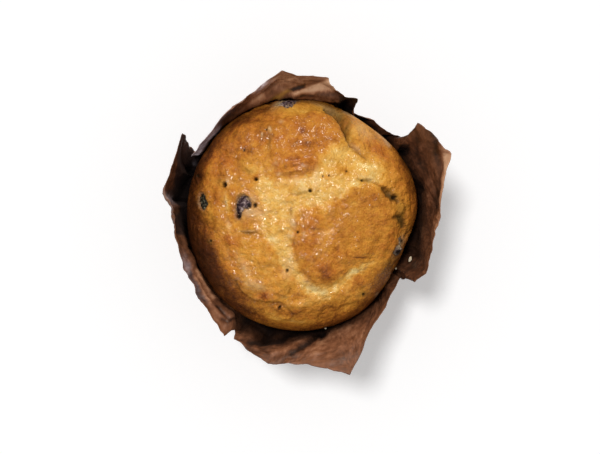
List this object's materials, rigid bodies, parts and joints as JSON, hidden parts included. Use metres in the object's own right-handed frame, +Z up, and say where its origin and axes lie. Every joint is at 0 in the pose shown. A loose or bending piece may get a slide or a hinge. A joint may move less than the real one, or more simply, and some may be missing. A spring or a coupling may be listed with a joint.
{
  "type": "blueberry muffin in a paper case",
  "caption": "Domed blueberry muffin with a cracked golden crust, baked in a brown folded tulip paper case with pointed petals.",
  "frame": {"origin": "centre of the paper case's flat underside", "axes": "+Z up, +Y towards the petal behind the muffin, +X towards the petal on its right"},
  "size_m": [0.0975, 0.1041, 0.0751],
  "materials": {
    "crust": "golden baked crust with a slight gloss",
    "berry": "dark purple, softened by baking",
    "paper": "creased brown greaseproof paper"
  },
  "bodies": {
    "root": {"muffin": "crust", "blueberry_west": "berry", "blueberry_far_west": "berry", "blueberry_north": "berry", "blueberry_east": "berry", "paper_case": "paper"}
  },
  "joints": []
}
